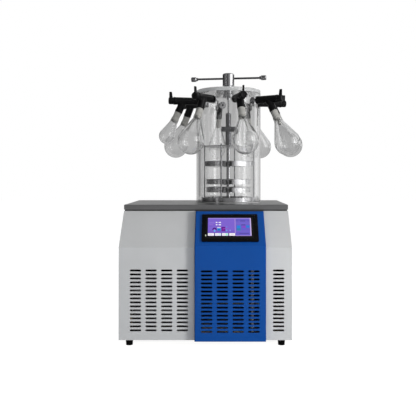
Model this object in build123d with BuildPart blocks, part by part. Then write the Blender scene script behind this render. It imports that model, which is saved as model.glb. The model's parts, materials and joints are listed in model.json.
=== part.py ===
from build123d import *
import math
import os

# A freeze dryer: a sheet-metal cabinet with the cold trap and the cooling inside, and on its worktop
# a clear drying chamber with a tray rack, a stoppering press and eight valves for flasks.
# Millimetres, X to the right, Y to the back, Z up.  The origin is on the floor, at the middle of the
# cabinet's footprint.

# Fits
pin_gap = 0.05          # radial clearance of a pin, tube or shaft in its hole
slide_gap = 0.1         # radial clearance of the press stem on the rack column
air_gap = 0.3           # gap between curved or moving neighbours

# Cabinet
cabinet_width = 600
cabinet_depth = 540
sheet = 2
foot_height = 20
foot_radius = 13
foot_tip_radius = 11.5
foot_inset_side = 35    # foot centre in from the side
foot_inset_end = 19     # foot centre in from the front or back
knee_height = 340       # where the front turns back
slope_run = 120         # the upper front leans back at 45 degrees
bend_radius = 3
pan_height = 24
deck_thickness = 4
seal_thickness = 5
seal_width = 20
seal_setback = 3
worktop_thickness = 18
worktop_edge = 2

# Display cover and screen
fascia_width = 246
fascia_proud = 20
fascia_edge = 4
bezel_width = 198
bezel_height = 124
bezel_thickness = 5
bezel_corner = 5
housing_border = 9      # the bezel's flange around the housing behind it
housing_depth = 28
screen_width = 166
screen_height = 98
screen_thickness = 2.5
screen_recess = 0.5

# Air slots
slot_length = 39
slot_height = 6.8
slot_pitch_x = 54
slot_pitch_z = 13.8
slot_lowest = 54
slots_below_knee = 75       # clear height above the highest row
slot_margin = 20            # least sheet beside the slots
left_slots_shift = 7        # the left field stands right of its panel's middle
rear_columns = 4
rear_rows = 10
rear_slots_lowest = 240

# Chamber and cold trap
chamber_x = 86
chamber_from_rear = 180
chamber_radius = 130
chamber_wall = 15
chamber_height = 432        # length of the clear tube
lid_thickness = 15
lid_edge = 4
gasket_thickness = 3
gasket_lip = 1
trap_clearance = 15         # the trap's mouth inside the clear tube
trap_wall = 2
trap_depth = 280
trap_rim = 10
trap_rim_thickness = 3
coil_tube_radius = 4.75
coil_pitch = 21
coil_above_floor = 55
coil_below_deck = 8
header_radius = 5.5
insulation_thickness = 26

# Port ring
port_count = 8
port_first_angle = 12.5     # from the front towards the right
port_below_lid = 31
nipple_radius = 6
nipple_bore = 4
nipple_outside = 18
nut_radius = 15
nut_thickness = 8
valve_radius = 15.5
valve_length = 95
valve_end_edge = 2.5
plug_radius = 9
plug_bore = 5
branch_bore = 4.5
plug_seat_depth = 20        # from the wall end to the plug's inner end
cap_radius = 14
cap_length = 18
cap_edge = 4
fin_height = 20             # above the valve body
fin_thickness = 6
fin_top_width = 10
fin_setback = 2             # in from the cap's rim and face
branch_from_wall = 53
branch_angle = 25.5         # outward from straight down
branch_length = 52
spigot_radius = 12
spigot_depth = 24
sleeve_length = 36
sleeve_top_shoulder = 2
sleeve_bottom_shoulder = 3
sleeve_bore = 7
sleeve_tail = 24            # the part of the sleeve inside the flask's neck

# Flasks
neck_wall = 3.5
neck_length = 9
glass_wall = 2.2
large_bulb_radius = 50
large_bulb_reach = 101      # middle of the bulb below the top of the neck
small_bulb_radius = 32
small_bulb_reach = 68
small_flask_port = 7

# Stoppering press
bush_radius = 17
bush_height = 20
bush_shank_radius = 13
press_nut_radius = 22
press_nut_thickness = 12
hub_radius = 23.5
hub_height = 50
hub_edge = 6
hub_neck_radius = 6.5
hub_neck_tail = 10          # below the nut under the lid
screw_radius = 4
screw_showing = 55          # bare screw between the hub's neck and the press sleeve
bar_radius = 4
bar_length = 290
bar_up_hub = 30
bar_yaw = -8.4
knob_radius = 9.75
knob_length = 27
knob_edge = 2.5
knob_depth = 18.5
press_sleeve_radius = 11
screw_in_sleeve = 20
screw_end_gap = 1           # between the screw's top and the crossbar
crosspiece_length = 57
crosspiece_width = 22
crosspiece_height = 20
press_tube_wall = 3.75
press_tube_length = 59
press_plate_clearance = 9
press_plate_thickness = 3
press_travel = 40
press_spare = 18            # left above the top tray when the press is down
rod_notch_gap = 0.5

# Tray rack
rack_clearance = 5
rack_ring_width = 12
rack_ring_height = 17
spoke_width = 14
spoke_height = 6
boss_radius = 16
column_radius = 8.25
column_foot_radius = 5
column_guide = 10           # how far the column stands in the press tube at rest
column_end_gap = 3          # above the column when the press is down
collar_radius = 20
collar_thickness = 3
rod_radius = 3
rod_count = 4
rod_first_angle = -16
rod_seat = 10
rod_above_plate = 6
tray_heights = (20, 52, 124)    # undersides above the rack's ring
tray_rod_gaps = (11, 11, 2)     # from the tray's wall to the guide rods
tray_depth = 20
tray_wall = 1.5
tray_slot_gap = 3.75

# Cooling set
compressor_gap = 18         # between the compressor and the trap's insulation
compressor_from_rear = 160
compressor_radius = 78
compressor_height = 205
compressor_dome = 34
compressor_plate = 190
compressor_plate_corner = 30
compressor_plate_thickness = 5
condenser_from_side = 150
condenser_from_front = 45
condenser_width = 210
condenser_height = 220
condenser_depth = 36
fin_pitch = 7
fin_sheet = 0.8
condenser_tube_radius = 4.5
condenser_tube_rows = 6
condenser_tube_end = 4      # tubes stand out of the end plates
fan_depth = 26
fan_bore = 84
fan_size = 200
fan_hub_radius = 24
fan_pin_radius = 4
fan_arm_width = 10
fan_arm_thickness = 4
blade_count = 5
blade_chord = 28
blade_thickness = 2
blade_tip_gap = 4
blade_twist = 32

# Rear fittings
vacuum_radius = 12.5
vacuum_bore = 10
vacuum_root_bore = 9          # the narrower bore where the pipe leaves the trap
vacuum_root_length = 20
vacuum_above_floor = 24
vacuum_reach = 32
vacuum_flange_radius = 20
vacuum_flange_thickness = 4
drain_radius = 6
drain_bore = 4
drain_height = 110
drain_bend = 25
cock_radius = 12
cock_length = 34
cock_stem_radius = 5
cock_boss_wall = 2
cock_stem_height = 22
barb_radius = 5
barb_length = 24
drain_reach = 12            # pipe behind the rear panel before the cock
lever_arm = 52
lever_width = 12
lever_thickness = 4
lever_hub_radius = 9
inlet_from_side = 80
inlet_z = 110
inlet_width = 48
inlet_height = 62
inlet_depth = 26
inlet_flange = 4
inlet_flange_thickness = 3
socket_width = 28
socket_height = 20
socket_depth = 18
socket_below = 14           # the socket's middle below the module's
contact_pitch = 8
contact_width = 2
contact_height = 5
contact_length = 14
rocker_above = 15           # the rocker's middle above the module's
rocker_width = 22
rocker_half_height = 8.5
rocker_front = 6.5          # proud of its pivot
rocker_back = 4
rocker_dip = 1.5            # the middle of its face behind the ends
rocker_well = 12
rocker_clearance = 1.5
rocker_pivot_depth = 3      # behind the rear panel's outer face
rocker_pin_radius = 1.5
rocker_pin_length = 2.5
rocker_tilt = 8

# Places worked out from the sizes
front = -cabinet_depth / 2
rear = cabinet_depth / 2
half_width = cabinet_width / 2
inner_half = half_width - sheet
slope_top = front + slope_run
chamber_y = rear - chamber_from_rear
body_top = knee_height + slope_run
pan_floor = foot_height + sheet
worktop_bottom = body_top + seal_thickness
worktop_top = worktop_bottom + worktop_thickness
tube_bottom = worktop_top + gasket_thickness
lid_bottom = tube_bottom + chamber_height
lid_top = lid_bottom + lid_thickness
port_height = lid_bottom - port_below_lid
chamber_inner = chamber_radius - chamber_wall
trap_radius = chamber_inner - trap_clearance
trap_floor = worktop_top - trap_depth
trap_outer = trap_radius + trap_wall
coil_radius = trap_outer + air_gap + header_radius
insulation_inner = coil_radius + header_radius + air_gap
insulation_outer = insulation_inner + insulation_thickness
rack_bottom = worktop_top + trap_rim_thickness
rack_top = rack_bottom + rack_ring_height
rack_radius = chamber_inner - rack_clearance
rod_circle = rack_radius - rack_ring_width / 2
spoke_top = rack_bottom + spoke_height
plate_bottom = rack_top + tray_heights[-1] + tray_depth + press_travel + press_spare
plate_top = plate_bottom + press_plate_thickness
tube_top = plate_top + press_tube_length
crosspiece_top = tube_top + crosspiece_height
hub_bottom = lid_top + bush_height
bar_height = hub_bottom + bar_up_hub
nut_bottom = lid_bottom - press_nut_thickness
hub_neck_bottom = nut_bottom - hub_neck_tail
sleeve_top = hub_neck_bottom - screw_showing
screw_bottom = sleeve_top - screw_in_sleeve
screw_top = bar_height - bar_radius - screw_end_gap
column_top = plate_top + column_guide
press_plate_radius = chamber_inner - press_plate_clearance
column_bore = column_radius + slide_gap


os.makedirs("parts", exist_ok=True)


def save(part, name):
    part.label = name
    export_step(part, f"parts/{name}.step")


def front_line(proud, low, high):
    # Points (y, z) up the cabinet's front, on a line parallel to it and this far outside it.
    step = proud * math.sqrt(2)
    knee = knee_height - proud + step
    return [(front - proud, low), (front - proud, knee), (front + high - knee_height - step, high)]


def slot_field(face_y, middle_x, lowest, columns, rows):
    # A field of air slots, drawn just outside the sheet whose outer face stands at face_y.
    with BuildSketch(Plane.XZ.offset(1 - face_y)) as field:
        with Locations((middle_x, lowest + (rows - 1) * slot_pitch_z / 2)):
            with GridLocations(slot_pitch_x, slot_pitch_z, columns, rows):
                SlotOverall(slot_length, slot_height)
    return field.sketch


def sheet_section(left):
    # Section of the bent sheet that closes the front, at its left edge.
    outline = front_line(0, foot_height, body_top) + front_line(-sheet, foot_height, body_top)[::-1]
    with BuildSketch(Plane.YZ.offset(left)) as section:
        with BuildLine():
            Polyline(*outline, close=True)
        make_face()
        knees = section.vertices().filter_by_position(Axis.Y, knee_height - sheet, knee_height + sheet)
        fillet(knees, bend_radius)
    return section.sketch


# Cabinet shell
with BuildPart() as base_pan:
    pan_width = cabinet_width - 2 * sheet
    pan_depth = cabinet_depth - 2 * sheet
    with Locations((0, 0, foot_height)):
        Box(pan_width, pan_depth, pan_height, align=(Align.CENTER, Align.CENTER, Align.MIN))
    with Locations((0, 0, pan_floor)):
        Box(pan_width - 2 * sheet, pan_depth - 2 * sheet, pan_height,
            align=(Align.CENTER, Align.CENTER, Align.MIN), mode=Mode.SUBTRACT)
save(base_pan.part, "base_pan")

with BuildPart() as feet:
    foot_span_x = cabinet_width - 2 * foot_inset_side
    foot_span_y = cabinet_depth - 2 * foot_inset_end
    with GridLocations(foot_span_x, foot_span_y, 2, 2):
        Cone(foot_tip_radius, foot_radius, foot_height, align=(Align.CENTER, Align.CENTER, Align.MIN))
save(feet.part, "feet")

side_outline = front_line(0, foot_height, body_top) + [(rear, body_top), (rear, foot_height)]
for side, left in (("left", -half_width), ("right", inner_half)):
    with BuildPart() as side_panel:
        with BuildSketch(Plane.YZ.offset(left)):
            with BuildLine():
                Polyline(*side_outline, close=True)
            make_face()
        extrude(amount=sheet)
    save(side_panel.part, f"side_panel_{side}")

fascia_left = chamber_x - fascia_width / 2
fascia_right = chamber_x + fascia_width / 2
slot_cut = -(sheet + 2)
slot_rows = 1 + int((knee_height - slots_below_knee - slot_lowest) / slot_pitch_z)


def columns_in(width):
    return 1 + math.floor((width - slot_length - 2 * slot_margin) / slot_pitch_x)


for side, left, right, shift in (("left", -inner_half, fascia_left, left_slots_shift),
                                 ("right", fascia_right, inner_half, 0)):
    with BuildPart() as front_panel:
        extrude(sheet_section(left), amount=right - left)
        middle = (left + right) / 2 + shift
        columns = columns_in(right - left)
        if columns > 0:
            slots = slot_field(front, middle, slot_lowest, columns, slot_rows)
            extrude(slots, amount=slot_cut, mode=Mode.SUBTRACT)
    save(front_panel.part, f"front_panel_{side}")

# The display cover is a shallow tray that stands proud between the two front panels.
cover_knee = front_line(fascia_proud, foot_height, body_top)[1][1]
display_height = (cover_knee + body_top) / 2
display_y = front + display_height - knee_height - fascia_proud * math.sqrt(2)
display_plane = Plane(origin=(chamber_x, display_y, display_height), x_dir=(1, 0, 0), z_dir=(0, -1, 1))
housing_width = bezel_width - 2 * housing_border
housing_height = bezel_height - 2 * housing_border
with BuildPart() as display_fascia:
    outside = front_line(fascia_proud, foot_height, body_top)
    backs = front_line(-sheet, foot_height, body_top)[::-1]
    with BuildSketch(Plane.YZ.offset(fascia_left)):
        with BuildLine():
            Polyline(*outside, *backs, close=True)
        make_face()
    extrude(amount=fascia_width)
    lower_face = display_fascia.faces().sort_by(Axis.Y)[0]
    slope_face = display_fascia.faces().filter_by(display_plane).sort_by(Axis.Y)[0]
    cover_edges = lower_face.edges().filter_by(Axis.Z) + slope_face.edges().filter_by(Axis.X, reverse=True)
    fillet(cover_edges, fascia_edge)
    inside = front_line(fascia_proud - sheet, pan_floor, body_top - sheet)
    behind = front_line(-2 * sheet, pan_floor, body_top - sheet)[::-1]
    with BuildSketch(Plane.YZ.offset(fascia_left + sheet)):
        with BuildLine():
            Polyline(*inside, *behind, close=True)
        make_face()
    extrude(amount=fascia_width - 2 * sheet, mode=Mode.SUBTRACT)
    slots = slot_field(front - fascia_proud, chamber_x, slot_lowest, columns_in(fascia_width), slot_rows)
    extrude(slots, amount=slot_cut, mode=Mode.SUBTRACT)
    with BuildSketch(display_plane):
        Rectangle(housing_width + 2 * air_gap, housing_height + 2 * air_gap)
    extrude(amount=-2 * sheet, mode=Mode.SUBTRACT)
save(display_fascia.part, "display_fascia")

# Screen
with BuildPart() as hmi_bezel:
    with BuildSketch(display_plane):
        RectangleRounded(bezel_width, bezel_height, bezel_corner)
    extrude(amount=bezel_thickness)
    with BuildSketch(display_plane):
        Rectangle(housing_width, housing_height)
    extrude(amount=-housing_depth)
    with BuildSketch(display_plane.offset(bezel_thickness)):
        Rectangle(screen_width + 2 * pin_gap, screen_height + 2 * pin_gap)
    extrude(amount=-(screen_thickness + screen_recess), mode=Mode.SUBTRACT)
save(hmi_bezel.part, "hmi_bezel")

with BuildPart() as hmi_screen:
    with BuildSketch(display_plane.offset(bezel_thickness - screen_recess)):
        Rectangle(screen_width, screen_height)
    extrude(amount=-screen_thickness)
save(hmi_screen.part, "hmi_screen")

# Rear panel, with the holes of what passes through it
vacuum_height = trap_floor + vacuum_above_floor
inlet_x = inlet_from_side - half_width
with BuildPart() as rear_panel:
    with Locations((0, rear - sheet, foot_height)):
        Box(cabinet_width - 2 * sheet, sheet, body_top - foot_height,
            align=(Align.CENTER, Align.MIN, Align.MIN))
    with BuildSketch(Plane.XZ.offset(1 - rear)):
        with Locations((chamber_x, vacuum_height)):
            Circle(vacuum_radius + pin_gap)
        with Locations((chamber_x, drain_height)):
            Circle(drain_radius + pin_gap)
        with Locations((inlet_x, inlet_z)):
            Rectangle(inlet_width + 2 * pin_gap, inlet_height + 2 * pin_gap)
    extrude(amount=slot_cut, both=True, mode=Mode.SUBTRACT)
    slots = slot_field(rear - sheet, 0, rear_slots_lowest, rear_columns, rear_rows)
    extrude(slots, amount=slot_cut, mode=Mode.SUBTRACT)
save(rear_panel.part, "rear_panel")

# Top of the cabinet: a deck inside the panels, a dark strip on their edges and the worktop on the strip
deck_front = slope_top + sheet * math.sqrt(2)
deck_depth = rear - sheet - deck_front
with BuildPart() as top_deck:
    with BuildSketch(Plane.XY.offset(body_top - deck_thickness)):
        with Locations((0, deck_front + deck_depth / 2)):
            Rectangle(cabinet_width - 2 * sheet, deck_depth)
        with Locations((chamber_x, chamber_y)):
            Circle(insulation_inner, mode=Mode.SUBTRACT)
    extrude(amount=deck_thickness)
save(top_deck.part, "top_deck")

worktop_depth = rear - slope_top
worktop_middle = (rear + slope_top) / 2
with BuildPart() as worktop_seal:
    seal_outer_x = cabinet_width - 2 * seal_setback
    seal_outer_y = worktop_depth - 2 * seal_setback
    with BuildSketch(Plane.XY.offset(body_top)):
        with Locations((0, worktop_middle)):
            Rectangle(seal_outer_x, seal_outer_y)
            Rectangle(seal_outer_x - 2 * seal_width, seal_outer_y - 2 * seal_width, mode=Mode.SUBTRACT)
    extrude(amount=seal_thickness)
save(worktop_seal.part, "worktop_seal")

with BuildPart() as worktop:
    with BuildSketch(Plane.XY.offset(worktop_bottom)):
        with Locations((0, worktop_middle)):
            Rectangle(cabinet_width, worktop_depth)
    extrude(amount=worktop_thickness)
    fillet(worktop.faces().sort_by(Axis.Z)[-1].edges(), worktop_edge)
    with BuildSketch(Plane.XY.offset(worktop_bottom)):
        with Locations((chamber_x, chamber_y)):
            Circle(trap_outer + pin_gap)
    extrude(amount=worktop_thickness, mode=Mode.SUBTRACT)
save(worktop.part, "worktop")

# Cold trap: a drawn pot that hangs by its rim from the worktop, with the evaporator coil round it
def level(height):
    # A horizontal plane whose origin is on the chamber's axis.
    return Plane(origin=(chamber_x, chamber_y, height))


def upright(points):
    # A closed profile of (radius, height) points in a plane through the chamber's axis.
    plane = Plane(origin=(chamber_x, chamber_y, 0), x_dir=(1, 0, 0), z_dir=(0, -1, 0))
    with BuildSketch(plane) as section:
        with BuildLine():
            Polyline(*points, close=True)
        make_face()
    return section.sketch


chamber_axis = Axis((chamber_x, chamber_y, 0), (0, 0, 1))
with BuildPart() as cold_trap:
    rim_radius = trap_outer + trap_rim
    revolve(upright([
        (0, trap_floor), (trap_outer, trap_floor), (trap_outer, worktop_top), (rim_radius, worktop_top),
        (rim_radius, rack_bottom), (trap_radius, rack_bottom), (trap_radius, trap_floor + trap_wall),
        (0, trap_floor + trap_wall),
    ]), axis=chamber_axis)
    with BuildSketch(Plane.XZ.offset(-chamber_y)):
        with Locations((chamber_x, vacuum_height)):
            Circle(vacuum_radius + pin_gap)
    extrude(amount=-(trap_outer + trap_wall), mode=Mode.SUBTRACT)
    with BuildSketch(level(trap_floor)):
        Circle(drain_radius + pin_gap)
    extrude(amount=trap_wall, mode=Mode.SUBTRACT)
save(cold_trap.part, "cold_trap")

coil_bottom = trap_floor + coil_above_floor
insulation_top = body_top - deck_thickness
coil_turns = 1 + int((insulation_top - coil_below_deck - coil_bottom) / coil_pitch)
with BuildPart() as trap_coil:
    for turn in range(coil_turns):
        with Locations((chamber_x, chamber_y, coil_bottom + turn * coil_pitch)):
            Torus(coil_radius, coil_tube_radius)
    with Locations((chamber_x - coil_radius, chamber_y, coil_bottom - coil_tube_radius)):
        Cylinder(header_radius, (coil_turns - 1) * coil_pitch + 2 * coil_tube_radius,
                 align=(Align.CENTER, Align.CENTER, Align.MIN))
save(trap_coil.part, "trap_coil")

with BuildPart() as trap_insulation:
    insulation_bottom = trap_floor - insulation_thickness
    revolve(upright([
        (0, insulation_bottom), (insulation_outer, insulation_bottom), (insulation_outer, insulation_top),
        (insulation_inner, insulation_top), (insulation_inner, trap_floor), (0, trap_floor),
    ]), axis=chamber_axis)
    with BuildSketch(Plane.XZ.offset(-chamber_y)):
        with Locations((chamber_x, vacuum_height)):
            Circle(vacuum_radius + pin_gap)
    extrude(amount=-(insulation_outer + insulation_thickness), mode=Mode.SUBTRACT)
    with BuildSketch(level(insulation_bottom)):
        Circle(drain_radius + pin_gap)
    extrude(amount=insulation_thickness, mode=Mode.SUBTRACT)
save(trap_insulation.part, "trap_insulation")

# Vacuum pipe from the trap to a clamp flange behind the cabinet
with BuildPart() as vacuum_port:
    pipe_start = chamber_y + trap_radius - trap_wall
    pipe_end = rear + vacuum_reach
    with BuildSketch(Plane.XZ.offset(-pipe_start)):
        with Locations((chamber_x, vacuum_height)):
            Circle(vacuum_radius)
    extrude(amount=pipe_start - pipe_end)
    with BuildSketch(Plane.XZ.offset(-pipe_end)):
        with Locations((chamber_x, vacuum_height)):
            Circle(vacuum_flange_radius)
    extrude(amount=vacuum_flange_thickness)
    with BuildSketch(Plane.XZ.offset(-pipe_end)):
        with Locations((chamber_x, vacuum_height)):
            Circle(vacuum_root_bore)
    extrude(amount=pipe_end - pipe_start, mode=Mode.SUBTRACT)
    with BuildSketch(Plane.XZ.offset(-pipe_end)):
        with Locations((chamber_x, vacuum_height)):
            Circle(vacuum_bore)
    extrude(amount=pipe_end - pipe_start - vacuum_root_length, mode=Mode.SUBTRACT)
save(vacuum_port.part, "vacuum_port")

# Drain: a bent pipe from the trap's floor to a cock with a hose barb and a quarter-turn lever
cock_start = rear + drain_reach
cock_end = cock_start + cock_length
barb_end = cock_end + barb_length
cock_middle = (cock_start + cock_end) / 2
stem_top = drain_height + cock_stem_height
with BuildPart() as drain_cock:
    with BuildLine() as drain_route:
        FilletPolyline((chamber_x, chamber_y, trap_floor + trap_wall), (chamber_x, chamber_y, drain_height),
                       (chamber_x, cock_start, drain_height), radius=drain_bend)
    with BuildSketch(level(trap_floor + trap_wall)):
        Circle(drain_radius)
    sweep()
    with BuildSketch(Plane.XZ.offset(-cock_start)):
        with Locations((chamber_x, drain_height)):
            Circle(cock_radius)
    extrude(amount=-cock_length)
    with BuildSketch(Plane.XZ.offset(-cock_end)):
        with Locations((chamber_x, drain_height)):
            Circle(barb_radius)
    extrude(amount=-barb_length)
    with BuildSketch(Plane((chamber_x, cock_middle, drain_height))):
        Circle(cock_stem_radius + cock_boss_wall)
    extrude(amount=cock_stem_height - lever_thickness)
    with BuildSketch(Plane((chamber_x, cock_middle, drain_height + cock_stem_height - lever_thickness))):
        Circle(cock_stem_radius)
    extrude(amount=lever_thickness)
    with BuildSketch(level(trap_floor + trap_wall)):
        Circle(drain_bore)
    sweep(path=drain_route.line, mode=Mode.SUBTRACT)
    with BuildSketch(Plane.XZ.offset(-barb_end)):
        with Locations((chamber_x, drain_height)):
            Circle(drain_bore)
    extrude(amount=barb_end - cock_start, mode=Mode.SUBTRACT)
save(drain_cock.part, "drain_cock")

with BuildPart() as drain_lever:
    with BuildSketch(Plane((chamber_x, cock_middle, stem_top - lever_thickness))):
        Circle(lever_hub_radius)
        with Locations((-lever_arm, 0)):
            Circle(lever_width / 2)
        with Locations((-lever_arm / 2, 0)):
            Rectangle(lever_arm, lever_width)
        Circle(cock_stem_radius + pin_gap, mode=Mode.SUBTRACT)
    extrude(amount=lever_thickness)
save(drain_lever.part, "drain_lever")

# Chamber: gasket, clear tube and clear lid
with BuildPart() as chamber_gasket:
    with BuildSketch(level(worktop_top)):
        Circle(chamber_radius + gasket_lip)
        Circle(trap_outer + trap_rim + air_gap, mode=Mode.SUBTRACT)
    extrude(amount=gasket_thickness)
save(chamber_gasket.part, "chamber_gasket")

port_angles = [port_first_angle + port * 360 / port_count for port in range(port_count)]


def port_plane(angle):
    # At the chamber's axis and the ports' height: x points out through the port and z points up.
    turn = math.radians(angle)
    return Plane(origin=(chamber_x, chamber_y, port_height), x_dir=(math.sin(turn), -math.cos(turn), 0))


with BuildPart() as chamber_cylinder:
    with BuildSketch(level(tube_bottom)):
        Circle(chamber_radius)
        Circle(chamber_inner, mode=Mode.SUBTRACT)
    extrude(amount=chamber_height)
    for angle in port_angles:
        outward = port_plane(angle)
        with BuildSketch(Plane(origin=outward.origin, z_dir=outward.x_dir)):
            Circle(nipple_radius + pin_gap)
        extrude(amount=chamber_radius, mode=Mode.SUBTRACT)
save(chamber_cylinder.part, "chamber_cylinder")

with BuildPart() as chamber_lid:
    with BuildSketch(level(lid_bottom)):
        Circle(chamber_radius)
    extrude(amount=lid_thickness)
    fillet(chamber_lid.edges().group_by(Axis.Z)[-1], lid_edge)
    with BuildSketch(level(lid_bottom)):
        Circle(bush_shank_radius + pin_gap)
    extrude(amount=lid_thickness, mode=Mode.SUBTRACT)
save(chamber_lid.part, "chamber_lid")

# Stoppering press.  The hub turns in the lid's bush and is the nut of the screw, which only slides.
with BuildPart() as lid_bush:
    revolve(upright([
        (hub_neck_radius + pin_gap, nut_bottom), (bush_shank_radius, nut_bottom),
        (bush_shank_radius, lid_top), (bush_radius, lid_top), (bush_radius, hub_bottom),
        (hub_neck_radius + pin_gap, hub_bottom),
    ]), axis=chamber_axis)
    with BuildSketch(level(nut_bottom)):
        Circle(press_nut_radius)
        Circle(bush_shank_radius + pin_gap, mode=Mode.SUBTRACT)
    extrude(amount=press_nut_thickness)
save(lid_bush.part, "lid_bush")

bar_turn = math.radians(bar_yaw)
bar_direction = (math.cos(bar_turn), math.sin(bar_turn), 0)
bar_plane = Plane(origin=(chamber_x, chamber_y, bar_height), z_dir=bar_direction)
with BuildPart() as handle_hub:
    with BuildSketch(level(hub_bottom)):
        Circle(hub_radius)
    extrude(amount=hub_height)
    fillet(handle_hub.edges().group_by(Axis.Z)[-1], hub_edge)
    with BuildSketch(level(hub_neck_bottom)):
        Circle(hub_neck_radius)
    extrude(amount=hub_bottom - hub_neck_bottom)
    with BuildSketch(level(hub_neck_bottom)):
        Circle(screw_radius + pin_gap)
    extrude(amount=screw_top + air_gap - hub_neck_bottom, mode=Mode.SUBTRACT)
    with BuildSketch(bar_plane):
        Circle(bar_radius + pin_gap)
    extrude(amount=hub_radius, both=True, mode=Mode.SUBTRACT)
save(handle_hub.part, "handle_hub")

with BuildPart() as handle_bar:
    with BuildSketch(bar_plane):
        Circle(bar_radius)
    extrude(amount=bar_length / 2, both=True)
save(handle_bar.part, "handle_bar")

with BuildPart() as handle_knobs:
    for end in (1, -1):
        knob_seat = bar_length / 2 - knob_depth
        knob_plane = Plane(origin=bar_plane.origin + bar_plane.z_dir * end * knob_seat,
                           z_dir=bar_plane.z_dir * end)
        with BuildSketch(knob_plane):
            Circle(knob_radius)
        knob = extrude(amount=knob_length)
        fillet(knob.edges().filter_by(GeomType.CIRCLE), knob_edge)
        with BuildSketch(knob_plane):
            Circle(bar_radius + pin_gap)
        extrude(amount=knob_depth, mode=Mode.SUBTRACT)
save(handle_knobs.part, "handle_knobs")

with BuildPart() as press_screw:
    with BuildSketch(level(screw_bottom)):
        Circle(screw_radius)
    extrude(amount=screw_top - screw_bottom)
save(press_screw.part, "press_screw")

with BuildPart() as press_stem:
    with BuildSketch(level(crosspiece_top)):
        Circle(press_sleeve_radius)
    extrude(amount=sleeve_top - crosspiece_top)
    with BuildSketch(level(tube_top)):
        Rectangle(crosspiece_length, crosspiece_width)
    extrude(amount=crosspiece_height)
    with BuildSketch(level(plate_top)):
        Circle(column_bore + press_tube_wall)
    extrude(amount=press_tube_length)
    with BuildSketch(level(screw_bottom)):
        Circle(screw_radius + pin_gap)
    extrude(amount=screw_in_sleeve, mode=Mode.SUBTRACT)
    with BuildSketch(level(plate_top)):
        Circle(column_bore)
    extrude(amount=column_guide + press_travel + column_end_gap, mode=Mode.SUBTRACT)
save(press_stem.part, "press_stem")

with BuildPart() as press_plate:
    with BuildSketch(level(plate_bottom)):
        Circle(press_plate_radius)
        Circle(column_bore, mode=Mode.SUBTRACT)
        with PolarLocations(rod_circle, rod_count, rod_first_angle):
            Circle(rod_radius + rod_notch_gap, mode=Mode.SUBTRACT)
        with PolarLocations(rod_circle + rod_radius, rod_count, rod_first_angle):
            Rectangle(2 * rod_radius, 2 * (rod_radius + rod_notch_gap), mode=Mode.SUBTRACT)
    extrude(amount=press_plate_thickness)
save(press_plate.part, "press_plate")

# Tray rack: a ring on the trap's rim, a column for the trays and four guide rods
with BuildPart() as rack_base:
    ring_inner = rack_radius - rack_ring_width
    with BuildSketch(level(rack_bottom)):
        Circle(rack_radius)
        Circle(ring_inner, mode=Mode.SUBTRACT)
    extrude(amount=rack_ring_height)
    with BuildSketch(level(rack_bottom)):
        with PolarLocations(ring_inner / 2, rod_count, rod_first_angle):
            Rectangle(ring_inner + rack_ring_width / 2, spoke_width)
        Circle(boss_radius)
        Circle(column_foot_radius + pin_gap, mode=Mode.SUBTRACT)
    extrude(amount=spoke_height)
    with BuildSketch(level(rack_top)):
        with PolarLocations(rod_circle, rod_count, rod_first_angle):
            Circle(rod_radius + pin_gap)
    extrude(amount=-rod_seat, mode=Mode.SUBTRACT)
save(rack_base.part, "rack_base")

with BuildPart() as rack_column:
    with BuildSketch(level(rack_bottom)):
        Circle(column_foot_radius)
    extrude(amount=spoke_height)
    with BuildSketch(level(spoke_top)):
        Circle(column_radius)
    extrude(amount=column_top - spoke_top)
    for above_ring in tray_heights:
        with BuildSketch(level(rack_top + above_ring - collar_thickness)):
            Circle(collar_radius)
        extrude(amount=collar_thickness)
save(rack_column.part, "rack_column")

with BuildPart() as rack_rods:
    with BuildSketch(level(rack_top - rod_seat)):
        with PolarLocations(rod_circle, rod_count, rod_first_angle):
            Circle(rod_radius)
    extrude(amount=plate_top + rod_above_plate - rack_top + rod_seat)
save(rack_rods.part, "rack_rods")

# Each tray is open on top and slotted from the front, so that it slides onto the column.
tray_slot_radius = column_radius + tray_slot_gap
for number, (above_ring, rod_gap) in enumerate(zip(tray_heights, tray_rod_gaps), start=1):
    tray_radius = rod_circle - rod_radius - rod_gap
    tray_height = rack_top + above_ring
    with BuildPart() as tray:
        with BuildSketch(level(tray_height)) as tray_outline:
            Circle(tray_radius)
            Circle(tray_slot_radius, mode=Mode.SUBTRACT)
            with Locations((0, -tray_radius / 2)):
                Rectangle(2 * tray_slot_radius, tray_radius, mode=Mode.SUBTRACT)
        extrude(amount=tray_depth)
        with BuildSketch(level(tray_height + tray_wall)):
            add(tray_outline.sketch_local)
            offset(amount=-tray_wall, mode=Mode.REPLACE)
        extrude(amount=tray_depth, mode=Mode.SUBTRACT)
    save(tray.part, f"tray_{number}")

# One valve, drawn at the port ring's middle with its port along X, then copied to every port
valve_start = chamber_radius + air_gap
valve_end = valve_start + valve_length
plug_seat = valve_start + plug_seat_depth
cap_start = valve_end + air_gap
cap_end = cap_start + cap_length
branch_x = valve_start + branch_from_wall
branch_tilt = math.radians(branch_angle)
branch_plane = Plane(origin=(branch_x, 0, 0), x_dir=(0, 1, 0),
                     z_dir=(math.sin(branch_tilt), 0, -math.cos(branch_tilt)))
spigot_start = branch_length - spigot_depth
neck_top = branch_length + sleeve_length

with BuildPart() as nipple:
    flat_seat = math.sqrt(chamber_inner**2 - nut_radius**2)
    nipple_end = chamber_radius + nipple_outside
    with BuildSketch(Plane.YZ.offset(flat_seat - nut_thickness)):
        Circle(nut_radius)
    extrude(amount=nut_thickness)
    with BuildSketch(Plane.YZ.offset(flat_seat - nut_thickness)):
        Circle(nipple_radius)
    extrude(amount=nipple_end - flat_seat + nut_thickness)
    with BuildSketch(Plane.YZ.offset(nipple_end)):
        Circle(nipple_bore)
    extrude(amount=-chamber_radius, mode=Mode.SUBTRACT)

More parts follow.
